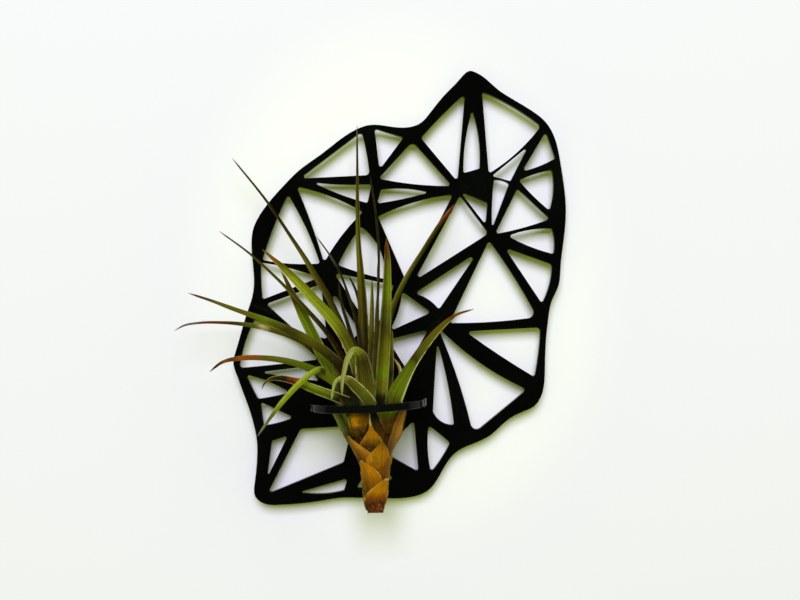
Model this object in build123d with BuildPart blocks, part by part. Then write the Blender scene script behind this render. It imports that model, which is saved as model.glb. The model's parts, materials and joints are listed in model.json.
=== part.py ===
"""Wall-hung air plant holder: a cut-out lattice panel of black sheet, a round shelf on its front,
three stand-off discs with adhesive pads behind it, and an air plant standing loose in the shelf.

The row's frame is in millimetres: X to the right, Z up, and the front of the panel faces -Y.
The wall is the plane Y = 0 and the origin is the middle of the top pad's back face.
Traced places are pixel coordinates in the 800 by 600 photo: x to the right, y down.
"""

import os
from math import cos, radians, sin

from build123d import *

# Sheet, stand-off and shelf sizes
sheet_thickness = 3.175
panel_height = 195.0
spacer_diameter = 11.0
spacer_thickness = 3.175
pad_diameter = 10.0
pad_thickness = 1.6
ring_outer_diameter = 50.0
ring_rim_width = 6.0
neck_width = 34.0
neck_reach = 10.0
tab_width = 8.0
tab_spacing = 24.0
slot_clearance = 0.05

# Trace of the photo: its scale on the panel's face, the point looked at and how far the panel hangs turned
panel_top_px = 71.0
panel_bottom_px = 505.0
view_x_px = 391.0
view_y_px = 300.0
hanging_turn = 2.6
mm_per_px = panel_height / (panel_bottom_px - panel_top_px)

# Places of the pads and of the shelf's middle, as seen on the panel's face
pad_places_px = {"top": (473.0, 183.0), "left": (312.0, 408.0), "bottom": (408.0, 485.0)}
shelf_x_px = 369.0
shelf_y_px = 399.5

standoff = spacer_thickness + pad_thickness
panel_front = standoff + sheet_thickness
shelf_reach = ring_outer_diameter / 2
ring_hole_diameter = ring_outer_diameter - 2 * ring_rim_width

# Outer edge of the panel, clockwise from the crown
outline_px = [
    (472.5, 71.0), (484.0, 77.2), (498.0, 89.4), (515.0, 100.3), (530.0, 109.4), (545.5, 121.7),
    (554.4, 136.7), (560.0, 159.4), (564.0, 185.0), (566.0, 209.0), (564.4, 235.0), (560.6, 268.0),
    (558.3, 286.7), (552.2, 300.0), (548.3, 319.4), (546.1, 340.0), (545.0, 371.7), (542.8, 391.7),
    (535.0, 405.6), (520.0, 413.0), (505.0, 422.2), (490.0, 435.6), (470.0, 445.0), (455.0, 453.3),
    (445.0, 466.0), (437.0, 480.0), (428.0, 490.6), (410.0, 497.4), (390.0, 498.6), (363.0, 498.0),
    (340.0, 498.0), (320.0, 501.1), (300.0, 503.7), (280.0, 505.0), (262.0, 502.8), (255.3, 496.7),
    (254.7, 482.8), (257.0, 459.4), (257.0, 442.8), (254.0, 425.6), (249.0, 408.3), (242.8, 391.7),
    (236.7, 375.0), (233.3, 363.3), (236.0, 350.0), (242.0, 329.0), (247.2, 312.2), (252.2, 296.7),
    (254.0, 282.0), (252.6, 262.0), (251.4, 243.0), (252.8, 230.0), (260.0, 214.4), (270.6, 200.0),
    (285.0, 184.0), (300.0, 169.4), (320.0, 155.0), (340.0, 139.4), (357.0, 128.9), (370.0, 124.8),
    (390.0, 126.4), (410.0, 126.9), (420.0, 123.2), (430.0, 112.8), (445.0, 94.4), (459.5, 79.4),
]

# Windows of the lattice: the corners, how far each side from a corner to the next bows outward,
# and the radius of each corner, all in pixels
windows_px = {
    "crown_left": ([(465, 93.5), (457.5, 181.5), (421, 138)], [0, 0, 1], [2, 2, 3]),
    "crown_spike": ([(472.3, 110), (479.5, 168.5), (463.5, 173)], [2.8, 0, 2.6], [1, 1.5, 1.5]),
    "crown_right": ([(482, 91.5), (541, 126), (488.8, 173.5)], [2.5, 3.4, 0], [2, 4, 2]),
    "shoulder_low": ([(492, 176), (528, 146.5), (510.5, 181)], [0, 0, 0], [1.2, 1, 1.2]),
    "shoulder_high": ([(546, 131.5), (555, 158.5), (522, 171.5)], [0, 1.3, 0], [2, 2, 2]),
    "shoulder_side": ([(552, 170), (549.5, 210.5), (519, 180.5)], [2.5, 1, 1.5], [2, 2, 2]),
    "under_crown_tall": ([(494, 180), (509, 184), (492, 229)], [1.5, 0, 1], [1.5, 2, 1]),
    "under_crown_small": ([(460, 191.5), (487.5, 203), (485.5, 224.5)], [0, 0, 0], [1.5, 2, 1.5]),
    "right_arm_upper": ([(517.5, 188.5), (550, 219), (495, 234)], [0, 1.3, 0], [2, 2, 2]),
    "right_arm_side": ([(508, 236), (552, 228.5), (553.5, 254)], [2.4, 1.5, 1.7], [2, 2, 2]),
    "right_arm_lower": ([(504.5, 247.5), (552, 264.5), (542, 303.5)], [0, 2.4, 0], [2, 4, 2]),
    "right_middle": ([(489, 240.5), (537, 317), (449.5, 323)], [1.7, 1.8, 0], [2, 6, 2]),
    "centre_upper": ([(460, 195.5), (488.5, 233.5), (414.5, 280.5)], [0, 0, 0], [2, 4, 2]),
    "centre_high": ([(453, 194.5), (378, 216.5), (405.5, 280)], [3.6, 0, 1], [2, 2, 2]),
    "brow_right": ([(412.5, 141.5), (452, 186), (378.5, 178.5)], [0, 2, 0], [5, 2, 2]),
    "brow_small": ([(374.5, 128.5), (403.5, 137.5), (379.5, 169.5)], [0, 0, 0], [2, 2, 2]),
    "brow_left": ([(361.5, 131.5), (369.5, 175), (299.5, 178.5)], [1, 0, 0], [3, 4, 2]),
    "brow_under_left": ([(312, 182), (371.5, 184), (367.5, 203)], [-1.5, 0, 1.5], [1, 2, 2]),
    "brow_under_right": ([(377, 203.5), (381, 189.5), (429, 192.5)], [0, 2.5, 0.8], [2, 2, 1]),
    "left_high_inner": ([(296.5, 186.5), (363, 212), (324, 263)], [3, -2.7, -1.4], [2, 2, 2]),
    "left_high_outer": ([(288, 194.5), (320, 263.5), (262.5, 260)], [2.2, 2, 1.5], [2, 2, 2]),
    "left_waist_upper": ([(261, 262.5), (319, 277.5), (262.5, 299.5)], [1.6, 0, 0.5], [2, 2, 2]),
    "left_waist_lower": ([(266, 304), (321, 284), (327, 339), (297, 332)], [0, 0, 0, 0], [2, 2, 2, 8]),
    "heart": ([(334, 273), (394, 285), (374, 334)], [0, 0, 0], [2, 2, 2]),
    "centre_low": ([(402, 291.5), (431, 312.5), (389, 331.5)], [0, 0, -2.6], [2, 2, 2]),
    "centre_inner": ([(414.5, 293.5), (478, 252), (439, 309.5)], [0, 0, -2.7], [2, 2, 2]),
    "right_hip_upper": ([(465.5, 331.5), (540.5, 327.5), (534.5, 377)], [0, 1, 1], [2, 4, 2]),
    "right_hip": ([(437, 326), (527, 389.5), (473, 434)], [-5.5, 0, -3], [1.2, 3, 6]),
    "right_thigh": ([(437.3, 342), (454, 425), (433, 411.5)], [2, 4, 0.3], [1, 2, 2]),
    "foot_right": ([(414, 420), (418.5, 472), (383, 452)], [0, 0, 0], [2, 2, 2]),
    "foot_right_side": ([(428.5, 425.5), (450, 443), (431, 472.5)], [0.5, 1, 2], [2, 3, 2]),
    "foot_left": ([(267.5, 494), (300.5, 429), (352, 426), (343.5, 462.5)], [0, 0, 0, 0], [2, 5, 2, 4]),
    "foot_left_side": ([(272, 441), (288, 435.5), (267, 478)], [0, 0, 0], [2, 1.5, 0.8]),
    "toe_left": ([(298.5, 492.5), (347.5, 478.5), (344, 490.5)], [0, 0, 2.5], [1, 2, 2]),
    "left_hip_low": ([(260.5, 402), (294, 417.5), (264, 425.5)], [0, 1, 0], [2, 2, 2]),
    "left_hip_side": ([(245.5, 374.5), (290, 392.5), (258, 399)], [2, 0.5, 0], [2, 2, 3]),
    "left_hip_inner": ([(259, 372.5), (306, 366.5), (320, 381.5)], [0, 0, 0], [0.9, 2, 1.5]),
    "left_hip": ([(254.5, 320), (318.5, 359.5), (239.5, 368)], [5, 0.5, 2.2], [2, 2, 3]),
    "right_ring_upper": ([(388, 340), (428.5, 329.5), (406, 368.5)], [0, 0, 0], [2, 2, 2]),
    "left_of_stem": ([(331, 289), (360, 331), (343, 351)], [0, 0, 0], [2, 2, 2]),
    "behind_rosette": ([(352, 352), (386, 346), (372, 382)], [0, 0, 0], [2, 2, 2]),
    "arch": ([(361, 226.5), (385, 279), (338, 265)], [7.5, 1, 1.2], [2, 2, 2]),
    "toe_middle": ([(355.5, 489.5), (394.5, 479), (372, 462)], [0, 0, 0], [2, 2, 2]),
}

# Trace of the plant, whose scale follows the hole that it stands in: the hole's width on the photo, where the
# shelf's middle is seen, and how far it and the camera are from the panel, all at the shelf's distance
hole_width_px = 88.5
shelf_seen_px = (368.0, 404.2)
shelf_reach_px = 58.2
view_distance_px = 1304.0

# Core of the stem, from the torn end up: y and x on the photo and radius
stem_profile_px = [
    (510, 375, 8.5), (500, 374.5, 9.5), (490, 375, 10), (480, 374.5, 11), (470, 374, 11.5), (460, 374, 14),
    (450, 373, 18), (438, 372, 25), (425, 371, 31), (411, 369.5, 34), (398, 369.5, 32), (384, 369.5, 23),
    (370, 370, 11),
]
stem_sides = 16
sheath_thickness = 0.6
sheath_gap = 0.25

# Dry sheaths round the stem: layer, middle direction in degrees from the front to the right, half width
# in degrees, the lower and upper end on the photo, and how the width goes from the lower end up
pointed_shares = [0.45, 0.9, 1.0, 0.7, 0.12]
wrapping_shares = [0.35, 0.7, 0.9, 1.0, 1.0]
sheaths_px = {
    "dry_sheath_left": (1, -72, 50, 463, 409, wrapping_shares),
    "dry_sheath_right": (1, 72, 50, 470, 409, wrapping_shares),
    "dry_sheath_back": (1, 180, 56, 476, 411, wrapping_shares),
    "dry_sheath_front": (2, -4, 38, 447, 417, pointed_shares),
    "dry_sheath_front_low": (2, 34, 42, 496, 445, pointed_shares),
    "dry_sheath_low_left": (1, -52, 46, 504, 466, pointed_shares),
    "dry_sheath_low_back": (1, 170, 60, 502, 480, pointed_shares),
}

# Leaves from tip to base: x and y on the photo, distance in front of the panel, and width
leaves_px = {
    "leaf_far_left_long": [
        (232, 158, 28, 1.4), (268, 203, 34, 2.5), (307, 255, 42, 3.5), (325, 285, 47, 4.5),
        (345, 340, 51, 5.5), (362, 378, 55, 7),
    ],
    "leaf_left_thin": [
        (219, 231, 75, 1.2), (252, 256, 73, 2), (285, 288, 70, 3), (318, 325, 66, 4), (358, 386, 62, 6),
    ],
    "leaf_left_broad": [
        (262, 249, 98, 2.5), (280, 263, 98, 5.5), (310, 300, 93, 8.5), (338, 342, 84, 9.5), (360, 388, 67, 10),
    ],
    "leaf_left_short": [
        (280, 272, 51, 2), (297, 305, 51, 5), (312, 338, 52, 8), (322, 358, 54, 10), (350, 388, 58, 12),
    ],
    "leaf_left_level": [
        (188, 293, 116, 1.5), (235, 308, 112, 4), (290, 328, 103, 6.5), (335, 358, 88, 9), (359, 392, 72, 10),
    ],
    "leaf_left_faded": [
        (174, 331, 37, 1.2), (190, 324, 37, 2.2), (215, 322.5, 37, 3), (255, 326, 40, 4),
        (300, 338, 45, 4.5), (358, 386, 54, 6),
    ],
    "leaf_left_low": [
        (210, 371, 124, 1.5), (222, 361, 124, 3), (240, 357, 122, 4.5), (285, 360, 108, 6),
        (325, 375, 88, 8), (356, 396, 70, 10),
    ],
    "leaf_left_curled": [
        (264, 383, 93, 3), (275, 378, 94, 5), (290, 379, 95, 6.5), (312, 388, 95, 9),
        (336, 396.8, 93, 9.5), (356, 402, 72, 11),
    ],
    "leaf_left_drooping": [
        (257, 437, 100, 1.5), (275, 412, 104, 4.5), (295, 388, 108, 7.5), (318, 371, 104, 8.5),
        (354, 390, 78, 10),
    ],
    "leaf_upright_long": [
        (357, 125, 23, 1.5), (358, 200, 28, 3.5), (359, 270, 35, 6), (362, 330, 42, 8), (365, 388, 50, 9),
    ],
    "leaf_upright_thin": [
        (370, 175, 16, 1.2), (378, 235, 21, 2.5), (378, 290, 28, 3.5), (376, 340, 40, 4), (376, 385, 51, 5),
    ],
    "leaf_upright_broad": [
        (386, 238, 88, 2.5), (388, 280, 88, 7.5), (386, 330, 84, 9.5), (384, 370, 77, 11), (380, 398, 68, 12),
    ],
    "leaf_upright_beside": [
        (377, 262, 72, 1.5), (378, 300, 72, 4), (377, 345, 70, 6.5), (375, 392, 66, 8),
    ],
    "leaf_right_long": [
        (455, 205, 28, 2), (425, 250, 33, 3.5), (400, 290, 40, 4.5), (386, 340, 47, 5), (379, 388, 54, 6),
    ],
    "leaf_right_broad": [
        (474, 309, 93, 1.2), (455, 315.5, 93, 3.5), (441, 327, 91, 5.5), (425, 345.5, 86, 7.5),
        (408, 370, 80, 9.5), (400, 386, 76, 12), (391, 402, 70, 16),
    ],
    "leaf_right_small": [
        (392, 357, 66, 1.5), (398, 364, 67, 3), (401, 375, 67, 4.5), (392, 396, 64, 6),
    ],
    "leaf_inner_thin": [
        (316, 236, 56, 1), (330, 254, 56, 1.6), (350, 290, 56, 2.5), (358, 330, 56, 4), (364, 380, 57, 5),
    ],
    "leaf_inner_left": [(340, 280, 65, 1.5), (346, 310, 65, 3.5), (355, 345, 65, 5.5), (362, 384, 63, 7)],
    "leaf_inner_middle": [(350, 280, 77, 1.5), (356, 310, 77, 3.5), (364, 345, 75, 5.5), (368, 386, 67, 7)],
    "leaf_inner_right": [(372, 280, 63, 1.5), (372, 310, 63, 4), (371, 345, 63, 5.5), (371, 382, 60, 7)],
    "leaf_front_fold": [
        (341, 384, 112, 3), (345, 366, 114, 5), (350, 352, 112, 5.5), (358, 347.5, 106, 7),
        (365, 355, 98, 10), (369, 372, 90, 12.5), (370, 396, 78, 13),
    ],
    "leaf_front_fold_low": [
        (331, 399, 114, 2.5), (334, 386, 114, 4), (340, 378.5, 112, 5), (348, 378, 109, 9),
        (358, 386, 103, 13), (366, 400, 88, 14), (368, 409, 76, 12),
    ],
}
leaf_thickness_share = 0.28
leaf_least_thickness = 0.5
leaf_sections = 9


def turned(across, up):
    """Undo the turn at which the panel hangs, so that the shelf is level."""
    turn = radians(hanging_turn)
    return across * cos(turn) + up * sin(turn), up * cos(turn) - across * sin(turn)


def flat(x_px, y_px):
    """A traced place on the panel's face, in the frame of the row."""
    across, up = (x_px - pad_places_px["top"][0]) * mm_per_px, (pad_places_px["top"][1] - y_px) * mm_per_px
    return turned(across, up)


def spot(x_px, y_px, in_front_px):
    """A traced place of the plant, from the shelf's middle, as the photo's view shows it at its distance."""
    view = (view_distance_px - in_front_px) / (view_distance_px - shelf_reach_px)
    across = (x_px - view_x_px) * view - (shelf_seen_px[0] - view_x_px)
    up = (view_y_px - y_px) * view - (view_y_px - shelf_seen_px[1])
    x, z = turned(across * plant_mm_per_px, up * plant_mm_per_px)
    return Vector(shelf_x + x, shelf_y - (in_front_px - shelf_reach_px) * plant_mm_per_px, shelf_z + z)


def bowed_side(start, end, bow):
    """A straight side, or an arc whose middle stands the bow off the straight line, to the left of it."""
    if bow == 0:
        return Line(start, end)
    along = Vector(*end) - Vector(*start)
    middle = Vector(*start) + along * 0.5 + Vector(along.Y, -along.X).normalized() * bow
    return ThreePointArc(start, middle, end)


def window(corners, bows, radii):
    """One opening of the lattice as a flat face with rounded corners."""
    places = [flat(*corner) for corner in corners]
    nexts = places[1:] + places[:1]
    area = sum(a[0] * b[1] - b[0] * a[1] for a, b in zip(places, nexts))
    outward = 1 if area > 0 else -1
    with BuildSketch() as opening:
        with BuildLine():
            for start, end, bow in zip(places, nexts, bows):
                bowed_side(start, end, bow * mm_per_px * outward)
        make_face()
        for place, radius in zip(places, radii):
            corner = opening.vertices().sort_by_distance(Vector(*place))[0]
            fillet(corner, radius * mm_per_px)
    return opening.sketch


wall = Plane(origin=(0, 0, 0), x_dir=(1, 0, 0), z_dir=(0, -1, 0))
shelf_x, shelf_z = flat(shelf_x_px, shelf_y_px)
shelf_y = -panel_front - shelf_reach
plant_mm_per_px = ring_hole_diameter / hole_width_px
tab_centres = [shelf_x - tab_spacing / 2, shelf_x + tab_spacing / 2]
parts = []


def keep(part, name):
    """Name a finished solid."""
    part.label = name
    parts.append(part)


# Lattice panel
with BuildPart() as lattice_panel:
    with BuildSketch(wall.offset(standoff)):
        with BuildLine():
            Spline(*[flat(*place) for place in outline_px], periodic=True)
        make_face()
        for corners, bows, radii in windows_px.values():
            add(window(corners, bows, radii), mode=Mode.SUBTRACT)
        with Locations(*[(centre, shelf_z) for centre in tab_centres]):
            Rectangle(
                tab_width + 2 * slot_clearance,
                sheet_thickness + 2 * slot_clearance,
                mode=Mode.SUBTRACT,
            )
    extrude(amount=sheet_thickness)
keep(lattice_panel.part, "lattice_panel")

# Round shelf, with a neck that meets the panel and two tabs through it
shelf_plane = Plane(origin=(shelf_x, shelf_y, shelf_z - sheet_thickness / 2), z_dir=(0, 0, 1))
with BuildPart() as ring_shelf:
    with BuildSketch(shelf_plane):
        Circle(ring_outer_diameter / 2)
        with Locations((0, shelf_reach - neck_reach / 2)):
            Rectangle(neck_width, neck_reach)
        with Locations((-tab_spacing / 2, shelf_reach), (tab_spacing / 2, shelf_reach)):
            Rectangle(tab_width, sheet_thickness, align=(Align.CENTER, Align.MIN))
        Circle(ring_hole_diameter / 2, mode=Mode.SUBTRACT)
    extrude(amount=sheet_thickness)
keep(ring_shelf.part, "ring_shelf")

# Stand-off discs and adhesive pads behind the panel
for side, place in pad_places_px.items():
    with BuildPart() as adhesive_pad:
        with BuildSketch(wall):
            with Locations(flat(*place)):
                Circle(pad_diameter / 2)
        extrude(amount=pad_thickness)
    keep(adhesive_pad.part, f"adhesive_pad_{side}")
    with BuildPart() as spacer_disc:
        with BuildSketch(wall.offset(pad_thickness)):
            with Locations(flat(*place)):
                Circle(spacer_diameter / 2)
        extrude(amount=spacer_thickness)
    keep(spacer_disc.part, f"spacer_disc_{side}")


def faceted(rings):
    """A closed solid through rings of corners, one after another, with sides of flat triangles."""
    faces = [Face(Wire.make_polygon(rings[0])), Face(Wire.make_polygon(rings[-1]))]
    for ring, following in zip(rings, rings[1:]):
        for n in range(len(ring)):
            faces.append(Face(Wire.make_polygon([ring[n - 1], ring[n], following[n]])))
            faces.append(Face(Wire.make_polygon([ring[n - 1], following[n], following[n - 1]])))
    return Solid(Shell(faces))


# Core of the stem, where the leaf bases are packed
def stem_level(y_px):
    """Place on the stem's middle line and core radius at a height on the photo."""
    for (low_px, low_x, low_radius), (high_px, high_x, high_radius) in zip(stem_profile_px, stem_profile_px[1:]):
        if low_px >= y_px >= high_px:
            share = (low_px - y_px) / (low_px - high_px)
            middle = spot(low_x + (high_x - low_x) * share, y_px, shelf_reach_px)
            return middle, (low_radius + (high_radius - low_radius) * share) * plant_mm_per_px


def round_stem(y_px, off_core, degrees):
    """A place that far off the core, in a direction counted from the front to the right."""
    middle, radius = stem_level(y_px)
    direction = radians(degrees)
    return middle + Vector(sin(direction), -cos(direction), 0) * (radius + off_core)


side_directions = [360 * n / stem_sides for n in range(stem_sides)]
with BuildPart() as stem_core:
    add(faceted([[round_stem(level[0], 0, side) for side in side_directions] for level in stem_profile_px]))
keep(stem_core.part, "stem_core")


# Dry sheaths, each a thin curved plate that wraps part of the stem
def sheath_ring(y_px, layer, middle, half):
    """Corners of a sheath's level section: along its inner side and back along its outer side."""
    inner = sheath_gap + (layer - 1) * (sheath_thickness + sheath_gap)
    directions = [middle + half * (n - 2) / 2 for n in range(5)]
    back = [round_stem(y_px, inner + sheath_thickness, side) for side in reversed(directions)]
    return [round_stem(y_px, inner, side) for side in directions] + back


for name, (layer, middle, half, low_px, high_px, shares) in sheaths_px.items():
    rings = []
    for n, share in enumerate(shares):
        y_px = low_px + (high_px - low_px) * n / (len(shares) - 1)
        rings.append(sheath_ring(y_px, layer, middle, half * share))
    with BuildPart() as dry_sheath:
        add(faceted(rings))
        add(stem_core.part, mode=Mode.SUBTRACT)
    keep(dry_sheath.part, name)


# Leaves, each a tapering blade whose section is a flat diamond
def blade_rings(points):
    """Diamond sections along a smooth line through the traced points, broad across the view."""
    places = [spot(*point[:3]) for point in points]
    line = Spline(*places)
    starts = [line.param_at_point(place) for place in places]
    rings = []
    for n in range(leaf_sections):
        share = n / (leaf_sections - 1)
        middle = line.position_at(share)
        along = line.tangent_at(share)
        across = along.cross(Vector(0, 1, 0)).normalized()
        deep = across.cross(along).normalized()
        half_width = width_at(share, starts, points) * plant_mm_per_px / 2
        half_depth = max(half_width * leaf_thickness_share, leaf_least_thickness / 2)
        rings.append(
            [
                middle + across * half_width,
                middle + deep * half_depth,
                middle - across * half_width,
                middle - deep * half_depth,
            ]
        )
    return rings


def width_at(share, starts, points):
    """Traced width at a share of the leaf's length, straight between its traced points."""
    for n in range(len(points) - 1):
        if starts[n] <= share <= starts[n + 1]:
            part_way = (share - starts[n]) / (starts[n + 1] - starts[n])
            return points[n][3] + (points[n + 1][3] - points[n][3]) * part_way
    return points[-1][3]


grown = stem_core.part
for name, points in leaves_px.items():
    with BuildPart() as leaf:
        add(faceted(blade_rings(points)))
        add(grown, mode=Mode.SUBTRACT)
    blade = leaf.part.solids().sort_by(SortBy.VOLUME)[-1]
    keep(Part(blade.wrapped), name)
    grown = grown + blade

os.makedirs("parts", exist_ok=True)
for part in parts:
    export_step(part, f"parts/{part.label}.step")
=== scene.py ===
"""Wall-hung air plant holder: a lattice panel and a round shelf of glossy black sheet on three foam pads,
and the air plant that stands loose in the shelf, in front of a white wall.

The row's frame is in metres: X to the right, Z up, and the front faces -Y. Traced places are pixels of the
800 by 600 photo, with a reach in front of the panel, in pixels at the shelf's distance.
"""

import json
import math

import bpy
import numpy as np
from mathutils import Matrix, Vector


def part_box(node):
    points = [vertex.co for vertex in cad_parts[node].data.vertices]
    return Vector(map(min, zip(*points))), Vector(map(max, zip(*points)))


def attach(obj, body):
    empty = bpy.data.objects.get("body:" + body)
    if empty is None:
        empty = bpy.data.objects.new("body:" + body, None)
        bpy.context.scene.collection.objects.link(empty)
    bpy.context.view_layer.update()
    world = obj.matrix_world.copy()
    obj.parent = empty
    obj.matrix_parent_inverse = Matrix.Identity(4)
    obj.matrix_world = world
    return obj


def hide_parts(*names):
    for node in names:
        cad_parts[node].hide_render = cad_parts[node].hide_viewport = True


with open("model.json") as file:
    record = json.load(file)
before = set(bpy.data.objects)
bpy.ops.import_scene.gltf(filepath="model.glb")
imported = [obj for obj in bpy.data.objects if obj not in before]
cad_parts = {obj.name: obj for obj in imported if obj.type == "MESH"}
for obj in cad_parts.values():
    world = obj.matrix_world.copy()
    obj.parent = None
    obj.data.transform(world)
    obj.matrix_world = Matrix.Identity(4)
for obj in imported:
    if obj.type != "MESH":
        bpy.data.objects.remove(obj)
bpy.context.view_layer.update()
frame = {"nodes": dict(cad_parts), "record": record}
nodes = frame["nodes"]

MM = 0.001

# A pixel of the photo on the panel's face, from the panel's height, and at the stem, from the width of the shelf's hole
PANEL_HEIGHT, PANEL_HEIGHT_PX = 195 * MM, 434
HOLE_WIDTH, HOLE_WIDTH_PX = 38 * MM, 88.5
PANEL_PX = PANEL_HEIGHT / PANEL_HEIGHT_PX
PLANT_PX = HOLE_WIDTH / HOLE_WIDTH_PX

# How far the panel's face stands out from the wall, the eye from that face and the stem from it in its pixels; where
# the view's axis and the top pad, the frame's origin, lie on the photo; and how far the photo's right side sinks
PANEL_FRONT = 7.95 * MM
EYE_DISTANCE = 560 * MM
STEM_REACH_PX = 58.2
EYE_X_PX, EYE_Y_PX = 391, 300
TOP_PAD_X_PX, TOP_PAD_Y_PX = 473, 183
PHOTO_WIDTH_PX = 800
HANGING_TURN = math.radians(2.6)

image_right = np.array([math.cos(HANGING_TURN), 0, -math.sin(HANGING_TURN)])
image_up = np.array([math.sin(HANGING_TURN), 0, math.cos(HANGING_TURN)])
out_of_wall = np.array([0, -1, 0])
eye_foot = (EYE_X_PX - TOP_PAD_X_PX) * PANEL_PX * image_right + (TOP_PAD_Y_PX - EYE_Y_PX) * PANEL_PX * image_up


def seen(x_px, y_px, reach_px):
    """Places in the row frame from photo coordinates: the offset from the view's axis shrinks in proportion to
    the distance left to the eye, and the reach is measured out from the panel's face."""
    x_px, y_px, reach_px = np.broadcast_arrays(*np.atleast_1d(x_px, y_px, reach_px))
    reach = reach_px[..., None] * PLANT_PX
    size = PANEL_PX * (1 - reach / EYE_DISTANCE)
    across = (x_px[..., None] - EYE_X_PX) * size * image_right
    up = (EYE_Y_PX - y_px[..., None]) * size * image_up
    return eye_foot + across + up + (PANEL_FRONT + reach) * out_of_wall


def tone(red, green, blue):
    """A colour written as it shows on a screen, 0 to 255, as a linear colour."""
    share = np.array([red, green, blue]) / 255
    linear = np.where(share > 0.04045, ((share + 0.055) / 1.055) ** 2.4, share / 12.92)
    return (*linear.tolist(), 1)


# Materials


class Wire:
    """An output socket in a material's tree. Arithmetic on it adds Math nodes, and add() adds any other node."""

    def __init__(self, tree, output=None):
        self.tree = tree
        self.output = output

    def add(self, kind, settings=None, sockets=None, output=0):
        """A new node in the same tree: its settings, then the value or link of each socket."""
        node = self.tree.nodes.new("ShaderNode" + kind)
        for name, value in (settings or {}).items():
            if name == "stops":
                ramp = node.color_ramp
                while len(ramp.elements) < len(value):
                    ramp.elements.new(1)
                for stop, (place, colour) in zip(ramp.elements, value):
                    stop.position = place
                    stop.color = colour
            else:
                setattr(node, name, value)
        for name, value in (sockets or {}).items():
            if isinstance(value, Wire):
                self.tree.links.new(value.output, node.inputs[name])
            else:
                node.inputs[name].default_value = value
        return Wire(self.tree, node.outputs[output]) if node.outputs else None

    def maths(self, operation, *values):
        """A Math node's operation on this wire and the values."""
        return self.add("Math", {"operation": operation}, dict(enumerate((self, *values))))

    def __add__(self, other):
        return self.maths("ADD", other)

    def __radd__(self, other):
        return self.maths("ADD", other)

    def __sub__(self, other):
        return self.maths("SUBTRACT", other)

    def __rsub__(self, other):
        return self * -1 + other

    def __mul__(self, other):
        return self.maths("MULTIPLY", other)

    def __rmul__(self, other):
        return self.maths("MULTIPLY", other)

    def step(self, low, high):
        """0 below low and 1 above high, with a smooth rise between."""
        settings = {"interpolation_type": "SMOOTHSTEP"}
        return self.add("MapRange", settings, {"Value": self, "From Min": low, "From Max": high})

    def mixed(self, first, second, blend="MIX"):
        """The first colour where this wire is 0 and the second where it is 1."""
        settings = {"data_type": "RGBA", "blend_type": blend}
        return self.add("Mix", settings, {0: self, 6: first, 7: second}, 2)

    def noise(self, scale, detail=2.0, roughness=0.5):
        """A noise of 0 to 1 on this vector."""
        return self.add("TexNoise", None, {"Vector": self, "Scale": scale, "Detail": detail, "Roughness": roughness})

    def stretched(self, x, y, z):
        """This vector times three factors."""
        return self.add("VectorMath", {"operation": "MULTIPLY"}, {0: self, 1: (x, y, z)})


def finish(name, shader):
    """A material whose tree is made by shader(start), which gives the surface's shader, or the sockets of a
    Principled one."""
    material = bpy.data.materials.new(name)
    material.use_nodes = True
    tree = material.node_tree
    tree.nodes.clear()
    start = Wire(tree)
    main = shader(start)
    if not isinstance(main, Wire):
        main = start.add("BsdfPrincipled", None, main)
    start.add("OutputMaterial", None, {"Surface": main})
    return material


def object_place(start):
    """The place in the piece's own coordinates, in metres."""
    return start.add("TexCoord", output="Object")


def blade_shares(start):
    """The piece's own map: the share across it, the share along it, and both as one vector."""
    place = start.add("TexCoord", output="UV")
    parts = place.add("SeparateXYZ", None, {"Vector": place}, "X")
    return parts, Wire(start.tree, parts.output.node.outputs["Y"]), place


def black_sheet(start):
    """Cast black sheet: a clear gloss with faint smears and dust on its faces, and a finely ribbed cut edge that
    shines less."""
    place = object_place(start)
    cut = start.add("Attribute", {"attribute_name": "cut_edge"}, None, "Fac")
    smears = place.noise(34, 5, 0.62).step(0.42, 0.72)
    dust = place.noise(1900, 1, 0.4).step(0.735, 0.76) * place.noise(60, 2).step(0.5, 0.62)
    ribs = place.stretched(1, 0.04, 1).noise(5200, 2)
    waves = place.noise(90, 1)
    clean, smeared = (0.001, 0.0012, 0.0008, 1), (0.0022, 0.0027, 0.0018, 1)
    dusty, ribbed = (0.06, 0.064, 0.055, 1), (0.006, 0.0068, 0.005, 1)
    colour = (dust * 0.4).mixed(smears.mixed(clean, smeared), dusty)
    colour = (cut * ribs).mixed(colour, ribbed)
    bump = start.add("Bump", None, {"Strength": 0.2, "Distance": 0.03 * MM, "Height": cut * ribs + waves * 0.6})
    skin = {
        "Base Color": colour,
        "Roughness": 0.05 + smears * 0.04 + cut * 0.05 + dust * 0.3,
        "IOR": 1.49,
        "Normal": bump,
    }
    face = start.add("BsdfPrincipled", None, {**skin, "Specular IOR Level": 0.5})
    side = start.add("BsdfPrincipled", None, {**skin, "Specular IOR Level": 0.06})
    return start.add("MixShader", None, {0: cut, 1: face, 2: side})


def pad_foam(start):
    """White closed-cell foam: white and greyish clouds, dented by small cells."""
    place = object_place(start)
    cells = start.add("TexVoronoi", None, {"Vector": place, "Scale": 2600})
    clouds = place.noise(400, 3)
    greyish, white = (0.74, 0.735, 0.7, 1), (0.86, 0.86, 0.83, 1)
    colour = clouds.mixed(greyish, white)
    bump = start.add("Bump", None, {"Strength": 0.6, "Distance": 0.12 * MM, "Height": cells})
    return {"Base Color": colour, "Roughness": 0.82 + clouds * 0.12, "Normal": bump}


def painted_flank_shade(body, side, painted_flank_light):
    """Painted shade and light: the body's colour times the first flank's lightness where side is 0 and the second's
    where it is 1, for how the light falls on each flank.
    """
    shade = side.mixed(*[(value, value, value, 1) for value in painted_flank_light])
    return body.add("Mix", {"data_type": "RGBA", "blend_type": "MULTIPLY"}, {0: 1.0, 6: body, 7: shade}, 2)


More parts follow.
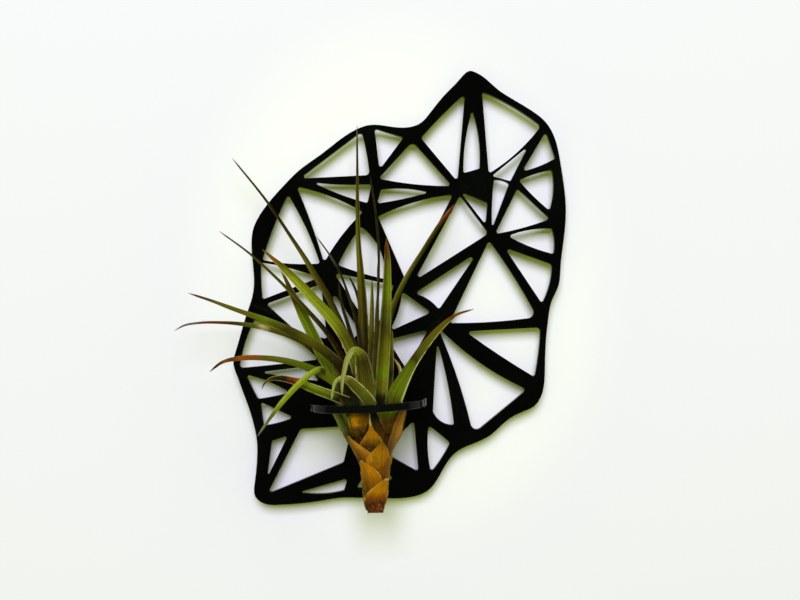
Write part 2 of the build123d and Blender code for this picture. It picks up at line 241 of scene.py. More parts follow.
def leaf_finish(stops, painted_flank_light, edges):
    """Leaf skin: tones from the tip to the base, painted shade and light on a first and a second flank, long brown and
    green stripes, fine veins, a pale or rusty line on each edge, the pale one partly painted highlight, rusty stains
    and a faint grey bloom of scales."""

    def shader(start):
        across, along, uv = blade_shares(start)
        place = object_place(start)
        drift = place.noise(160, 3) - 0.5
        body = start.add("ValToRGB", {"stops": stops}, {"Fac": along + drift * 0.12})
        stripes = uv.stretched(7, 1.3, 1).noise(1, 3, 0.55)
        veins = uv.stretched(30, 2.6, 1).noise(1, 3, 0.6)
        body = (stripes.step(0.48, 0.62) * 0.7).mixed(body, (0.4, 0.3, 0.18, 1), "MULTIPLY")
        body = (stripes.step(0.46, 0.32) * 0.6).mixed(body, (1.5, 1.5, 1.15, 1), "MULTIPLY")
        body = (veins.step(0.42, 0.62) * 0.5).mixed(body, (0.5, 0.46, 0.36, 1), "MULTIPLY")
        body = painted_flank_shade(body, across.step(0.36, 0.64), painted_flank_light)
        stains = place.noise(700, 3, 0.62).step(0.52, 0.64) * place.noise(150, 2).step(0.38, 0.56)
        body = (stains * 0.35).mixed(body, tone(92, 44, 12))
        first, second = edges
        rim = across.step(0.15, 0.05) * max(first, 0) + across.step(0.85, 0.95) * max(second, 0)
        rusty = across.step(0.34, 0.12) * max(-first, 0) + across.step(0.66, 0.88) * max(-second, 0)
        patches = place.noise(260, 2).step(0.25, 0.55)
        body = (rusty * patches * along.step(0.46, 0.24) * 0.8).mixed(body, tone(128, 70, 12))
        # The pale edge line is partly the leaf's pale margin and partly painted highlight.
        body = (rim * patches).mixed(body, tone(176, 178, 104))
        specks = place.noise(4200, 1).step(0.56, 0.7) * place.noise(260, 2).step(0.4, 0.66)
        body = (specks * 0.16).mixed(body, tone(140, 140, 104))
        height = veins * 0.6 + stripes * 0.4 + specks * 0.2
        bump = start.add("Bump", None, {"Strength": 0.5, "Distance": 0.14 * MM, "Height": height})
        return {"Base Color": body, "Roughness": 0.4 + veins * 0.18, "Normal": bump, "Specular IOR Level": 0.15}

    return shader


def sheath_finish(stops, painted_flank_light, edges):
    """Dry papery sheath: tones from its free end to its foot, painted shade and light on a first and a second flank,
    long fibres, brown and red stains, and a pale torn line on each edge."""

    def shader(start):
        across, along, uv = blade_shares(start)
        place = object_place(start)
        drift = place.noise(240, 3) - 0.5
        body = start.add("ValToRGB", {"stops": stops}, {"Fac": along + drift * 0.2})
        fibres = uv.stretched(20, 1.2, 1).noise(1, 4, 0.65)
        fine = uv.stretched(80, 4, 1).noise(1, 2)
        body = (fibres.step(0.44, 0.64) * 0.6).mixed(body, (0.42, 0.32, 0.24, 1), "MULTIPLY")
        body = (fine.step(0.52, 0.7) * 0.35).mixed(body, (1.5, 1.4, 1.1, 1), "MULTIPLY")
        body = painted_flank_shade(body, across.step(0.2, 0.8), painted_flank_light)
        stains = place.noise(330, 4, 0.6)
        body = (stains.step(0.54, 0.66) * 0.34).mixed(body, tone(88, 40, 8))
        body = (stains.step(0.46, 0.36) * 0.5).mixed(body, tone(96, 92, 20))
        first, second = edges
        rim = across.step(0.075, 0.02) * first + across.step(0.925, 0.98) * second
        body = (rim * place.noise(420, 3, 0.6).step(0.36, 0.56)).mixed(body, tone(200, 168, 88))
        height = fibres * 0.8 + fine * 0.4
        bump = start.add("Bump", None, {"Strength": 0.8, "Distance": 0.2 * MM, "Height": height})
        return {"Base Color": body, "Roughness": 0.5 + fibres * 0.25, "Normal": bump, "Specular IOR Level": 0.1}

    return shader


# Meshes


def piece(name, points, faces, material, slot, body, shares=None):
    """A mesh object at the origin with its finish, its map of shares per face corner and its body. The slot is not
    used.
    """
    mesh = bpy.data.meshes.new(name)
    mesh.from_pydata(points.tolist(), [], [list(map(int, face)) for face in faces])
    mesh.polygons.foreach_set("use_smooth", np.full(len(mesh.polygons), True))
    if shares is not None:
        uv = mesh.uv_layers.new(name="shares")
        corner = np.empty(len(mesh.loops), int)
        mesh.loops.foreach_get("vertex_index", corner)
        uv.data.foreach_set("uv", shares.reshape(-1, 2)[corner].ravel())
    mesh.materials.append(material)
    made = bpy.data.objects.new(name, mesh)
    bpy.context.scene.collection.objects.link(made)
    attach(made, body)
    return made


def tube(grid):
    """A closed tube through rows of points: the points in one list, and its faces with an end face on each end. The
    faces are turned round if the volume they hold, a sum of their corners' triple products, comes out negative."""
    rows, around = grid.shape[:2]
    points = grid.reshape(-1, 3)
    row, turn = np.meshgrid(np.arange(rows - 1), np.arange(around), indexing="ij")
    following = (turn + 1) % around
    here, there = row * around, (row + 1) * around
    quads = np.stack([here + turn, here + following, there + following, there + turn], -1).reshape(-1, 4)
    first = np.arange(around)[::-1]
    last = (rows - 1) * around + np.arange(around)
    faces = [*quads, first, last]
    a, b, c, d = (points[quads[:, n]] - points.mean(0) for n in range(4))
    volume = np.einsum("ij,ij->", a, np.cross(b, c) + np.cross(c, d))
    return points, faces if volume > 0 else [face[::-1] for face in faces]


def smooth_rows(rows, count):
    """Rows of a table joined smoothly: the knots are the distances run, the slope at each row is the weighted mean of
    the slopes on both sides, and a cubic Hermite curve joins each pair. The first three columns are the place."""
    run = np.concatenate([[0], np.cumsum(np.linalg.norm(np.diff(rows[:, :3], axis=0), axis=1))])
    slopes = np.gradient(rows, run, axis=0)
    at = np.linspace(0, run[-1], count)
    last = np.clip(np.searchsorted(run, at, side="right") - 1, 0, len(run) - 2)
    span = (run[last + 1] - run[last])[:, None]
    part = (at - run[last])[:, None] / span
    joined = (
        (2 * part**3 - 3 * part**2 + 1) * rows[last]
        + (part**3 - 2 * part**2 + part) * span * slopes[last]
        + (3 * part**2 - 2 * part**3) * rows[last + 1]
        + (part**3 - part**2) * span * slopes[last + 1]
    )
    return joined, at / run[-1]


def unit(vectors):
    """Each vector over its length."""
    return vectors / np.linalg.norm(vectors, axis=-1, keepdims=True)


def turns(count):
    """Directions in equal steps round a full turn, in radians."""
    return np.arange(count) * 2 * np.pi / count


LEAF_ROWS = 72
LEAF_AROUND = 28
TIP_SHARE, TIP_POWER = 0.045, 0.7
LEAST_HALF_WIDTH = 0.04 * MM
GUTTER_POWER, GUTTER_MIDDLE = 1.5, 0.4
DEEPEST_SHARE = 0.4


def leaf_grid(traced, rolls, gutter, thickness_mm):
    """A leaf: the traced places joined smoothly from tip to base, and on each an ellipse as wide as the leaf and as
    deep as it is thick, or as a share of its width where that is less. It is bent into a gutter whose height goes with
    the 1.5th power of the distance from the middle. The width runs out to a point over the first part of the leaf,
    with the 0.7th power of the distance from the tip, and the roll turns the section about the line."""
    traced = np.array(traced, float)
    roll = np.radians(np.zeros(len(traced)) + rolls)[:, None]
    rows = np.hstack([seen(*traced[:, :3].T), traced[:, 3:] * PLANT_PX, roll])
    line, share = smooth_rows(rows, LEAF_ROWS)
    along = unit(np.gradient(line[:, :3], axis=0))
    face = unit(out_of_wall - (along @ out_of_wall)[:, None] * along)
    across = np.cross(along, face)
    roll = line[:, 4:]
    across, face = across * np.cos(roll) + face * np.sin(roll), face * np.cos(roll) - across * np.sin(roll)
    half = line[:, 3:4] / 2 * np.minimum(1, share[:, None] / TIP_SHARE) ** TIP_POWER + LEAST_HALF_WIDTH
    turn = turns(LEAF_AROUND)
    side = np.cos(turn)[None, :]
    depth = np.minimum(thickness_mm * MM / 2, half * DEEPEST_SHARE)
    rise = gutter * half * (np.abs(side) ** GUTTER_POWER - GUTTER_MIDDLE) + np.sin(turn)[None, :] * depth
    grid = line[:, None, :3] + across[:, None] * (half * side)[..., None] + face[:, None] * rise[..., None]
    return grid, np.stack(np.broadcast_arrays((side + 1) / 2, share[:, None]), -1)


# Holder

gloss = finish("gloss_black_sheet", black_sheet)
foam = finish("white_pad_foam", pad_foam)

# How far and in how many steps a cut edge is rounded; how close corners lie to their face's level, to their doubles
# and to their partners on the other face; and the least cosine of half a rim's turn that its inset follows
EASE = 0.22 * MM
EASE_STEPS = 4
FLAT_WITHIN = 0.01 * MM
MERGE_STEP = 0.001 * MM
PARTNER_STEP = 0.002 * MM
LEAST_COSINE = 0.45


def on_grid(places, step):
    """Places as whole numbers of a step."""
    return np.round(places / step).astype(np.int64)


def merged(node):
    """A node's triangles with their doubled corners merged: places and corner numbers."""
    mesh = node.data
    places = np.empty(len(mesh.vertices) * 3)
    mesh.vertices.foreach_get("co", places)
    mesh.calc_loop_triangles()
    corners = np.empty(len(mesh.loop_triangles) * 3, int)
    mesh.loop_triangles.foreach_get("vertices", corners)
    places = places.reshape(-1, 3)
    _, first, back = np.unique(on_grid(places, MERGE_STEP), axis=0, return_index=True, return_inverse=True)
    triangles = back.reshape(-1)[corners].reshape(-1, 3)
    a, b, c = triangles.T
    return places[first], triangles[(a != b) & (b != c) & (c != a)]


def rim_sides(face, count):
    """The rim of a face: the sides that only one of its triangles has."""
    sides = np.concatenate([face[:, [0, 1]], face[:, [1, 2]], face[:, [2, 0]]])
    _, at, counts = np.unique(sides.min(1) * count + sides.max(1), return_index=True, return_counts=True)
    return sides[at[counts == 1]]


def eased_rings(places, rim, touched, axis, axis_way, end):
    """Rings of places and normals that round a rim by a quarter circle, from the face out to the cut side. A rim
    point's inset runs along the mean of its two sides' outward normals, made longer by one over the cosine of half the
    angle between them."""
    first, second = rim.T
    side_out = np.cross(unit(places[second] - places[first]), axis_way)
    out = np.zeros((len(places), 3))
    np.add.at(out, first, side_out)
    np.add.at(out, second, side_out)
    out[touched] = unit(out[touched])
    cosine = np.ones(len(places))
    cosine[first] = np.clip(np.einsum("ij,ij->i", out[first], side_out), LEAST_COSINE, 1)
    rings = []
    for angle in np.arange(EASE_STEPS + 1) / EASE_STEPS * math.pi / 2:
        ring = places[touched] - out[touched] / cosine[touched, None] * EASE * (1 - math.sin(angle))
        ring[:, axis] = end - axis_way[axis] * EASE * (1 - math.cos(angle))
        rings.append((ring, axis_way * math.cos(angle) + out[touched] * math.sin(angle)))
    return rings


def partners(spots, low_touched, high_touched):
    """For each rim point of the low face, the high face's rim point at the same spot of the outline."""
    spots = on_grid(spots, PARTNER_STEP)
    high_numbers = {tuple(spots[number]): number for number in high_touched}
    partner = np.full(len(spots), -1)
    for number in low_touched:
        x, y = spots[number]
        near = [high_numbers.get((x + dx, y + dy)) for dx in (0, -1, 1) for dy in (0, -1, 1)]
        partner[number] = next(found for found in near if found is not None)
    return partner


def eased_sheet(name, node_name, axis):
    """A cut sheet with its edges eased: both faces keep their triangles, each rim is carried in by the ease and
    rounded, and the cut side joins each rim point to its partner."""
    places, triangles = merged(nodes[node_name])
    level = places[:, axis]
    points, faces, normals, cut, rims = [], [], [], [], []
    offset = 0
    for end, way in ((level.min(), -1), (level.max(), 1)):
        axis_way = np.zeros(3)
        axis_way[axis] = way
        on_face = np.abs(level - end) < FLAT_WITHIN
        face = triangles[on_face[triangles].all(1)]
        used = np.unique(face)
        rim = rim_sides(face, len(places))
        first, second = rim.T
        touched = np.unique(rim)
        rings = eased_rings(places, rim, touched, axis, axis_way, end)
        before = np.full(len(places), -1)
        before[used] = np.arange(len(used)) + offset
        faces.extend(before[face])
        inner = places[used].copy()
        inner[before[touched] - offset] = rings[0][0]
        points.append(inner)
        normals.append(np.tile(axis_way, (len(used), 1)))
        cut.append(np.zeros(len(used)))
        offset += len(used)
        for step, (ring, ring_normals) in enumerate(rings[1:], 1):
            now = np.full(len(places), -1)
            now[touched] = np.arange(len(touched)) + offset
            points.append(ring)
            normals.append(ring_normals)
            cut.append(np.full(len(touched), step / EASE_STEPS))
            faces.extend(np.stack([before[second], before[first], now[first], now[second]], -1))
            offset += len(touched)
            before = now
        rims.append((before, rim, touched))
    (low, low_rim, low_touched), (high, _, high_touched) = rims
    partner = partners(np.delete(places, axis, 1), low_touched, high_touched)
    first, second = low_rim.T
    faces.extend(np.stack([low[second], low[first], high[partner[first]], high[partner[second]]], -1))
    made = piece(name, np.concatenate(points), faces, gloss, "black_sheet", "holder")
    made.data.attributes.new("cut_edge", "FLOAT", "POINT").data.foreach_set("value", np.concatenate(cut))
    made.data.normals_split_custom_set_from_vertices(np.concatenate(normals).tolist())
    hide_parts(node_name)


eased_sheet("lattice_sheet", "lattice_panel", axis=1)
eased_sheet("shelf_sheet", "ring_shelf", axis=2)

DISC_SIDES = 96
DISC_EASE, PAD_EASE = 0.15 * MM, 0.12 * MM
PAD_BULGE = -0.25 * MM
HUB_SHARE = 0.02
SHARP_ANGLE = math.radians(40)


def turned_disc(name, node_name, bulge, ease, material, slot):
    """A disc turned about the Y axis: flat faces round a small hub, quarter-round rims of the ease, and a side that
    bulges by a half sine between them."""
    low, high = (np.array(corner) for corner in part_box(node_name))
    centre, radius, depth = (low + high) / 2, (high[0] - low[0]) / 2, high[1] - low[1]
    front = [(radius * HUB_SHARE, 0), (radius / 2, 0)]
    for angle in np.linspace(0, math.pi / 2, 5):
        front.append((radius - ease * (1 - math.sin(angle)), ease * (1 - math.cos(angle))))
    side = []
    for share in (0.2, 0.4, 0.6, 0.8):
        side.append((radius + bulge * math.sin(share * math.pi), ease + share * (depth - 2 * ease)))
    back = [(out, depth - sunk) for out, sunk in front[::-1]]
    profile = np.array(front + side + back)
    turn = turns(DISC_SIDES)
    x = centre[0] + profile[:, :1] * np.cos(turn)
    z = centre[2] + profile[:, :1] * np.sin(turn)
    y = np.broadcast_to(low[1] + profile[:, 1:], x.shape)
    made = piece(name, *tube(np.stack([x, y, z], -1)), material, slot, "holder")
    made.data.set_sharp_from_angle(angle=SHARP_ANGLE)
    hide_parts(node_name)


for side in ("top", "left", "bottom"):
    turned_disc(f"stand_off_disc_{side}", f"spacer_disc_{side}", 0, DISC_EASE, gloss, "black_sheet")
    turned_disc(f"foam_pad_{side}", f"adhesive_pad_{side}", PAD_BULGE, PAD_EASE, foam, "pad_foam")

# Plant

# SHADED and the darkest green below are painted shade: the dark of inner leaves and leaf bases that lie in the shade of
# the rosette and of other leaves.
BRIGHT = tone(142, 158, 30)
FRESH = tone(104, 124, 14)
OLIVE = tone(98, 98, 18)
DARK_OLIVE = tone(68, 64, 16)
SHADED = tone(38, 34, 10)
BROWN = tone(88, 58, 18)
RED = tone(112, 50, 18)
ORANGE = tone(146, 82, 8)
PAINTED_SHADE_GREEN = tone(26, 32, 8)
GREY = tone(112, 106, 86)
PALE = tone(158, 164, 84)
STRAW = tone(206, 186, 118)

# Leaves from tip to base: x and y on the photo, reach and width in pixels; then the gutter, the thickness in
# millimetres, the tones from tip to base, and for both sides, the right-hand one first as seen from the base looking to
# the tip, how light the flank is, which is painted shade and light for how the light falls on it, and how pale the
# edge, partly painted highlight, or how rusty where it is below 0
leaves = {
    "leaf_far_left_long": (
        [(232, 158, 28, 1.4), (268, 203, 34, 2.4), (293, 240, 39, 3.6), (306, 260, 42, 4.8), (316, 277, 45, 6),
         (326, 293, 48, 6), (337, 315, 50, 6), (347, 337, 51, 6.2), (362, 378, 55, 7)],
        0.5, 0.5,
        [(0, GREY), (0.1, DARK_OLIVE), (0.3, SHADED), (0.5, OLIVE), (0.68, DARK_OLIVE), (1, OLIVE)],
        (0.5, 1.1), (0, 0.1),
    ),
    "leaf_left_thin": (
        [(219, 231, 75, 1.2), (252, 255.5, 73, 2), (268, 270, 72, 2.4), (285, 286.5, 70, 3), (308, 311, 68, 4.2),
         (328, 334, 65, 5), (358, 386, 62, 6)],
        0.5, 0.5,
        [(0, GREY), (0.2, DARK_OLIVE), (0.45, OLIVE), (0.7, SHADED), (1, SHADED)],
        (0.6, 1.0), (0, 0.2),
    ),
    "leaf_left_broad": (
        [(262, 249, 98, 2), (271, 257, 98, 3.2), (282, 266.5, 98, 5.6), (297, 281.5, 95, 8.4), (315, 300.5, 91, 9.6),
         (332, 319, 86, 10.4), (345, 338, 82, 10.6), (354, 360, 77, 10.6), (362, 392, 70, 10)],
        0.6, 0.7,
        [(0, BROWN), (0.04, OLIVE), (0.08, ORANGE), (0.12, OLIVE), (0.25, BRIGHT), (0.55, BRIGHT), (0.68, OLIVE),
         (0.82, FRESH), (1, SHADED)],
        (0.8, 1.1), (-0.8, 0.6),
    ),
    "leaf_left_short": (
        [(281, 271, 51, 1.6), (285.5, 279, 51, 3.2), (291.5, 292, 51, 5.6), (298, 304.5, 51, 8.2), (303, 315, 51, 9.8),
         (311, 331, 52, 10.6), (325, 359, 54, 13), (350, 388, 58, 12)],
        0.5, 0.6,
        [(0, OLIVE), (0.12, BROWN), (0.26, BROWN), (0.36, FRESH), (0.6, FRESH), (1, FRESH)],
        (0.7, 1.2), (0.5, 0.2),
    ),
    "leaf_left_level": (
        [(188, 293, 116, 1.5), (214, 301.6, 114, 2.8), (229, 307.2, 112, 3.8), (245, 312.9, 110, 4.5),
         (262, 318.8, 107, 5.8), (281, 326.3, 104, 6.6), (300, 335.4, 99, 8), (322, 349, 93, 9), (340, 365, 85, 9.5),
         (359, 392, 72, 10)],
        0.6, 0.6,
        [(0, GREY), (0.06, BROWN), (0.14, OLIVE), (0.24, OLIVE), (0.4, FRESH), (0.5, DARK_OLIVE), (0.62, OLIVE),
         (0.8, SHADED), (1, SHADED)],
        (1.15, 0.75), (0.15, -0.9),
    ),
    "leaf_left_faded": (
        [(174, 331, 37, 1.2), (184, 325.5, 37, 1.8), (198, 323, 37, 2.2), (220, 322.5, 37, 2.8), (255, 326, 40, 4.6),
         (300, 340, 45, 6), (358, 386, 54, 7)],
        0.5, 0.5,
        [(0, GREY), (0.1, GREY), (0.14, RED), (0.24, RED), (0.3, DARK_OLIVE), (0.4, OLIVE), (0.44, STRAW),
         (0.49, OLIVE), (0.7, DARK_OLIVE), (1, DARK_OLIVE)],
        (1.0, 0.7), (0.2, 0),
    ),
    "leaf_left_low": (
        [(209.4, 372, 124, 1.5), (222, 362.4, 124, 2.8), (240, 358.2, 122, 4.4), (262, 357.8, 116, 5),
         (285, 360.6, 108, 5.8), (325, 375.6, 88, 8), (356, 398, 76, 10)],
        0.6, 0.6,
        [(0, SHADED), (0.08, BROWN), (0.12, ORANGE), (0.16, BROWN), (0.2, ORANGE), (0.28, ORANGE), (0.34, OLIVE),
         (0.6, FRESH), (1, FRESH)],
        (1.1, 0.75), (0.1, -0.6),
    ),
    "leaf_left_curled": (
        [(261.8, 390, 93, 1.4), (264, 384.6, 93, 1.8), (267.6, 381, 93.5, 2.8), (273, 378.8, 94, 4.2),
         (281, 378.4, 94.5, 5.8), (292, 380.4, 95, 7), (312, 388, 95, 8.5), (336, 396.8, 93, 9.5), (356, 405, 80, 11)],
        0.7, 0.6,
        [(0, GREY), (0.05, SHADED), (0.1, BROWN), (0.15, SHADED), (0.26, SHADED), (0.31, RED), (0.35, RED),
         (0.4, ORANGE), (0.45, BRIGHT), (0.72, FRESH), (0.81, SHADED), (1, SHADED)],
        (1.25, 0.5), (1.0, 0.4),
    ),
    "leaf_left_drooping": (
        [(257, 437, 100, 1), (266, 424, 102, 2.4), (281, 403.5, 105, 4.4), (299, 384, 108, 5.4), (312, 373, 107, 5.4),
         (319, 369, 102, 4.6), (326, 373, 88, 4), (340, 385, 72, 5), (354, 397, 64, 7)],
        0.6, 0.5,
        [(0, GREY), (0.1, GREY), (0.16, OLIVE), (0.26, BRIGHT), (0.56, BRIGHT), (0.64, OLIVE), (1, SHADED)],
        (1.35, 0.8), (0.9, 0),
    ),
    "leaf_upright_long": (
        [(357, 125, 23, 1.3), (357.3, 165, 26, 2.2), (357.6, 210, 29, 3.8), (358.6, 245, 32, 5), (360.4, 270, 35, 6.8),
         (362, 295, 38, 8.8), (363.4, 325, 42, 10), (366, 388, 50, 10)],
        0.7, 0.6,
        [(0, GREY), (0.08, SHADED), (0.25, DARK_OLIVE), (0.5, OLIVE), (0.75, DARK_OLIVE), (1, SHADED)],
        (0.4, 1.45), (0.3, 0),
    ),
    "leaf_upright_thin": (
        [(370, 175, 16, 1.2), (376, 216, 19, 1.9), (378.4, 245, 22, 2.3), (378.2, 290, 28, 2.5), (376.4, 318, 34, 3),
         (376, 342, 40, 3.6), (376, 385, 51, 5)],
        0.5, 0.5,
        [(0, SHADED), (0.5, SHADED), (0.7, DARK_OLIVE), (1, OLIVE)],
        (0.8, 0.9), (0.1, 0.1),
    ),
    "leaf_upright_broad": (
        [(386.2, 238, 88, 1.5), (386.8, 248, 88, 3.8), (387.4, 259, 88, 5.9), (387.3, 277, 88, 7.5),
         (386.6, 300, 87, 9.2), (385.2, 328, 86, 11.2), (382.5, 372, 84, 12.5), (380.5, 398, 84, 12),
         (379, 410, 78, 10)],
        0.6, 0.7,
        [(0, GREY), (0.03, RED), (0.08, BROWN), (0.14, OLIVE), (0.3, FRESH), (0.5, DARK_OLIVE), (0.62, OLIVE),
         (0.78, FRESH), (0.86, OLIVE), (0.92, PAINTED_SHADE_GREEN), (1, PAINTED_SHADE_GREEN)],
        (1.25, 0.65), (0.2, 0.25),
    ),
    "leaf_upright_beside": (
        [(377.8, 262, 72, 1.2), (377.8, 300, 72, 2.4), (376.8, 330, 70, 4.4), (376, 355, 69, 6.6), (375, 392, 66, 8)],
        0.6, 0.5,
        [(0, BROWN), (0.15, SHADED), (0.5, DARK_OLIVE), (0.75, DARK_OLIVE), (1, OLIVE)],
        (0.7, 1.1), (0, 0.2),
    ),
    "leaf_right_long": (
        [(454.6, 203.6, 28, 2.4), (451.4, 209, 29, 3.6), (440.8, 222.5, 30, 3.9), (432, 236, 32, 4.1),
         (422, 252, 34, 4.1), (409.3, 272, 37, 4.3), (400, 290, 40, 4.8), (391.5, 311, 44, 5.4), (384.5, 345, 48, 6),
         (379, 388, 54, 7)],
        0.6, 0.5,
        [(0, RED), (0.1, RED), (0.15, DARK_OLIVE), (0.26, DARK_OLIVE), (0.4, OLIVE), (0.6, OLIVE), (0.78, FRESH),
         (1, FRESH)],
        (0.4, 1.35), (0, 0.5),
    ),
    "leaf_right_broad": (
        [(474, 309, 93, 1.2), (455, 315.5, 93, 3), (441, 327, 91, 5.5), (425, 345.5, 88, 8), (411, 366, 86, 10),
         (403, 380, 85, 13), (396.5, 393, 84, 16), (393, 402, 82, 16), (390, 411, 77, 12)],
        0.6, 0.7,
        [(0, GREY), (0.08, BROWN), (0.14, ORANGE), (0.18, BROWN), (0.24, OLIVE), (0.46, OLIVE), (0.56, DARK_OLIVE),
         (0.62, FRESH), (0.84, FRESH), (0.94, DARK_OLIVE), (1, SHADED)],
        (0.85, 1.05), (1.0, -1.0),
    ),
    "leaf_right_small": (
        [(392, 357, 66, 1.2), (396, 361.5, 67, 2), (400, 369, 67, 3), (400, 380, 67, 4), (392, 398, 64, 6)],
        0.8, 0.4,
        [(0, GREY), (0.2, STRAW), (0.45, STRAW), (0.6, BROWN), (1, OLIVE)],
        (1.2, 0.4), (1.0, 0),
    ),
    "leaf_inner_thin": (
        [(316, 236, 56, 1), (329, 254, 56, 1.6), (340, 273, 56, 2), (347, 291, 56, 2.4), (354, 312, 56, 3),
         (359, 335, 56, 4), (364, 380, 57, 5)],
        0.5, 0.4,
        [(0, GREY), (0.25, SHADED), (1, SHADED)],
        (1.0, 0.8), (0, 0.2),
    ),
    "leaf_inner_left": (
        [(338.5, 281, 65, 1.2), (341.5, 303, 65, 2.4), (347.5, 323, 65, 3.6), (354.5, 347, 65, 5.2), (362, 384, 63, 7)],
        0.6, 0.5,
        [(0, SHADED), (0.5, SHADED), (0.75, DARK_OLIVE), (1, OLIVE)],
        (1.0, 0.7), (0.1, 0.2),
    ),
    "leaf_inner_middle": (
        [(348.5, 275, 30, 1.2), (356, 291, 32, 2.6), (361, 312, 36, 3.6), (366, 345, 42, 5), (368, 386, 50, 7)],
        0.6, 0.5,
        [(0, SHADED), (0.5, SHADED), (0.7, SHADED), (1, DARK_OLIVE)],
        (0.8, 1.1), (0.1, 0.1),
    ),
    "leaf_inner_right": (
        [(372, 280, 63, 1.5), (372, 310, 63, 4), (371, 345, 63, 5.5), (371, 382, 60, 7)],
        0.6, 0.5,
        [(0, OLIVE), (0.4, OLIVE), (0.7, DARK_OLIVE), (1, DARK_OLIVE)],
        (0.6, 1.2), (0, 0.3),
    ),
    "leaf_front_fold": (
        [(342, 396, 111, 1.6), (342, 386, 112.5, 2.6), (344.5, 370, 114, 4.2), (348.5, 356.5, 113, 5),
         (354, 350, 109, 6), (360, 354.5, 103, 11), (363, 366, 97, 16), (365, 380, 92, 18), (367, 398, 86, 17),
         (368, 410, 80, 14)],
        -0.35, 0.6,
        [(0, PALE), (0.36, PALE), (0.43, BRIGHT), (0.48, OLIVE), (0.56, DARK_OLIVE), (0.8, OLIVE), (0.9, FRESH),
         (1, OLIVE)],
        (0.75, 1.1), (0.2, 0.8),
    ),
    "leaf_front_fold_low": (
        [(331.5, 400, 114, 1.8), (333, 390, 114.5, 2.6), (335.5, 382, 114, 3.2), (341, 378.5, 111.5, 5),
         (348, 380, 109, 8), (356, 387, 104, 10.5), (364, 395, 98, 11.5), (370, 403, 90, 12), (373, 412, 80, 12)],
        -0.45, 0.6,
        [(0, PALE), (0.3, PALE), (0.4, OLIVE), (0.5, OLIVE), (0.66, FRESH), (0.76, OLIVE), (1, FRESH)],
        (0.9, 1.0), (0.9, 0.9),
    ),
    "base_sliver": (
        [(392, 330, 80, 1.5), (391.5, 350, 82, 4), (390.5, 375, 84, 5.5), (389, 395, 84, 4), (387.5, 406, 80, 3)],
        0.6, 0.5,
        [(0, OLIVE), (0.2, OLIVE), (0.35, DARK_OLIVE), (0.6, SHADED), (0.8, DARK_OLIVE), (1, OLIVE)],
        (1.1, 0.7), (0.3, 0.1),
    ),
    "base_middle": (
        [(358, 352, 66, 4), (364, 370, 72, 10), (372, 388, 80, 16), (377, 403, 82, 20), (379, 413, 78, 18)],
        0.5, 0.6,
        [(0, DARK_OLIVE), (0.4, SHADED), (0.75, PAINTED_SHADE_GREEN), (1, PAINTED_SHADE_GREEN)],
        (0.9, 0.9), (0.1, 0.1),
    ),
    "base_front_left": (
        [(334, 366, 76, 4), (341, 380, 82, 12), (347, 393, 88, 17), (352, 404, 90, 20), (355, 414, 84, 16)],
        0.5, 0.6,
        [(0, OLIVE), (0.25, DARK_OLIVE), (0.5, SHADED), (0.8, PAINTED_SHADE_GREEN), (1, PAINTED_SHADE_GREEN)],
        (0.8, 1.1), (0.1, 0.1),
    ),
    "base_left": (
        [(322, 352, 62, 3), (331, 366, 64, 10), (340, 382, 70, 16), (346, 400, 74, 20), (350, 412, 72, 18)],
        0.5, 0.6,
        [(0, FRESH), (0.5, FRESH), (0.8, OLIVE), (1, SHADED)],
        (0.9, 0.9), (0.3, 0.1),
    ),
}
# How far a leaf is rolled at each of its rows, in degrees, where it is rolled at all
leaf_rolls = {"leaf_left_curled": (40, 40, 36, 28, 16, 8, 0, 0, 0)}

leaf_slots = {part["node"]: part["material_slot"] for part in frame["record"]["subparts"]}
for name, (traced, gutter, thickness, stops, painted_flank_light, edges) in leaves.items():
    grid, shares = leaf_grid(traced, leaf_rolls.get(name, 0), gutter, thickness)
    slot = leaf_slots.get(name, "leaf_bright")
    skin = finish(name + "_skin", leaf_finish(stops, painted_flank_light, edges))
    made = piece("blade_" + name.removeprefix("leaf_"), *tube(grid), skin, slot, "air_plant", shares)
    if name in nodes:
        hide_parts(name)

# Stem from the leaf bases down to its torn end: y and x on the photo and outer radius in pixels
stem_levels = np.array(
    [
        (370, 370, 12), (384, 369.5, 24), (398, 369.5, 33), (411, 369.5, 36), (425, 371, 33), (438, 372, 27),
        (450, 373, 20), (460, 374, 16), (470, 374, 13.5), (480, 374.5, 13), (490, 375, 12), (500, 374.5, 11.5),
        (505, 374.5, 10.5), (511, 375, 8),
    ]
)


def stem_level(y_px):
    """The stem's middle and outer radius at heights on the photo, straight between the rows of its table."""
    levels, middles, radii = stem_levels.T
    return np.interp(y_px, levels, middles), np.interp(y_px, levels, radii)


def round_stem(y_px, degrees, off_px):
    """Places round the stem: from its middle line, out by its radius and an offset, in a direction counted from the
    front to the right, and seen at the height given."""
    middle, radius = stem_level(y_px)
    side = np.radians(degrees)
    out = radius + off_px
    return seen(middle + out * np.sin(side), y_px, STEM_REACH_PX + out * np.cos(side))


def facing(x_px, y_px, off_px):
    """The direction round the stem at which a pixel of its outline is seen: the arc sine of its offset from the middle
    over the radius, and past the outline a further quarter turn for each radius."""
    middle, radius = stem_level(y_px)
    ratio = (x_px - middle) / (radius + off_px)
    return np.where(np.abs(ratio) <= 1, np.degrees(np.arcsin(np.clip(ratio, -1, 1))), 90 * ratio)


SHEATH_ROWS = 56
SHEATH_AROUND = 40
SHEATH_THICKNESS_PX = 0.9
SHEATH_CURL_PX = 0.9
SHEATH_FOLD_PX = 0.16
EDGE_SMOOTHINGS = 5
FULL_SPAN = 12
LEAST_SPAN_SHARE = 0.08


def fray(phase):
    """How far a torn edge strays along its length: three sines that add up to a third of a pixel."""
    run = np.linspace(0, 1, SHEATH_ROWS)[:, None]
    return 0.16 * np.sin(23 * run + phase) + 0.1 * np.sin(51 * run + 3 * phase) + 0.07 * np.sin(97 * run + 7 * phase)


